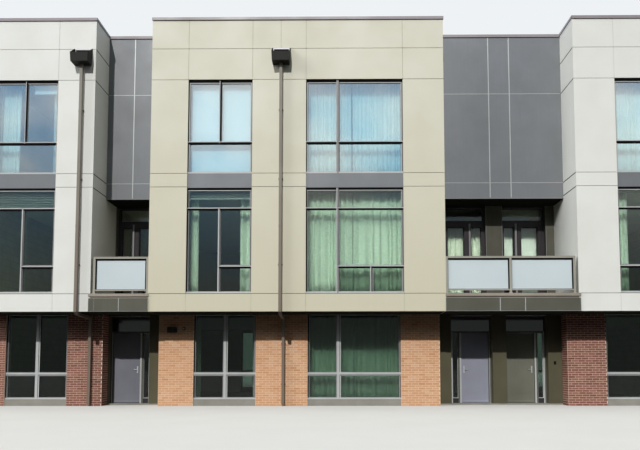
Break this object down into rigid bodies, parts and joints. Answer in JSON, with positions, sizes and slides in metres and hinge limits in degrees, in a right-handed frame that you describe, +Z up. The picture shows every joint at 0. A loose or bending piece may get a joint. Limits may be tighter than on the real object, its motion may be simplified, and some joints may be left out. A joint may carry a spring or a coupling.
{
  "type": "terraced house row",
  "caption": "Terraced row of modern three storey houses: brick ground storey, panel clad blocks overhanging it, recessed entrances, glazed balconies and hinged entrance doors.",
  "frame": {"origin": "middle of the row's width and depth, at ground level", "axes": "+Z up, -Y the street front, +X to the right seen from the street"},
  "size_m": [22, 10.338, 11.19],
  "materials": {
    "concrete": "smooth concrete",
    "roof": "mineral roofing felt",
    "blockwork": "fair faced blockwork",
    "brick_red": "rough brick",
    "brick_orange": "rough brick",
    "soffit": "matt coated board",
    "white_panel": "satin coated panel",
    "beige_panel": "satin coated panel",
    "grey_panel": "satin coated panel",
    "window_frame": "coated aluminium",
    "window_glass": "clear",
    "coping": "coated sheet",
    "fascia": "satin coated panel",
    "guard_rail": "satin coated aluminium",
    "guard_glass": "frosted",
    "entry_panel": "stained board",
    "entry_frame": "coated frame",
    "entry_door": "painted door",
    "handle": "brushed",
    "rainwater": "coated sheet",
    "lamp": "coated housing",
    "bell": "matt housing"
  },
  "bodies": {
    "house_row": {"ground_floor_slab": "concrete", "second_floor": "concrete", "third_floor": "concrete", "roof_deck": "roof", "party_walls_lower": "blockwork", "party_walls_upper": "blockwork", "brick_red": "brick_red", "brick_orange": "brick_orange", "wall_bands": "blockwork", "wall_piers": "blockwork", "return_walls": "blockwork", "bay_walls": "blockwork", "soffits": "soffit", "white_panels": "white_panel", "beige_panels": "beige_panel", "grey_panels": "grey_panel", "ground_windows": "window_frame", "ground_glass": "window_glass", "upper_windows": "window_frame", "upper_glass": "window_glass", "window_sills": "concrete", "copings": "coping", "balcony_decks": "concrete", "balcony_fascias": "fascia", "guard_posts": "guard_rail", "guard_rails": "guard_rail", "guard_glass": "guard_glass", "balcony_wall_panels": "fascia", "balcony_doors": "window_frame", "balcony_door_glass": "window_glass", "entry_panels": "entry_panel", "entry_posts": "entry_frame", "entry_rails": "entry_frame", "entry_glass": "window_glass", "hinge_knuckles": "handle", "conductor_heads": "rainwater", "downspouts": "rainwater", "wall_lamp": "lamp", "door_bells": "bell"},
    "door_left": {"entry_door_left": "entry_door", "door_fittings_left": "handle"},
    "door_middle": {"entry_door_middle": "entry_door", "door_fittings_middle": "handle"},
    "door_right": {"entry_door_right": "entry_door", "door_fittings_right": "handle"}
  },
  "joints": [
    {"name": "hinge_left", "type": "hinge", "parent": "house_row", "child": "door_left", "pos_m": [-7.242, -3.037, 1.12], "axis": [0, 0, 1], "range_deg": [0, 88]},
    {"name": "hinge_middle", "type": "hinge", "parent": "house_row", "child": "door_middle", "pos_m": [4.22, -3.037, 1.12], "axis": [0, 0, -1], "range_deg": [0, 88]},
    {"name": "hinge_right", "type": "hinge", "parent": "house_row", "child": "door_right", "pos_m": [4.8, -3.037, 1.12], "axis": [0, 0, 1], "range_deg": [0, 88]}
  ]
}
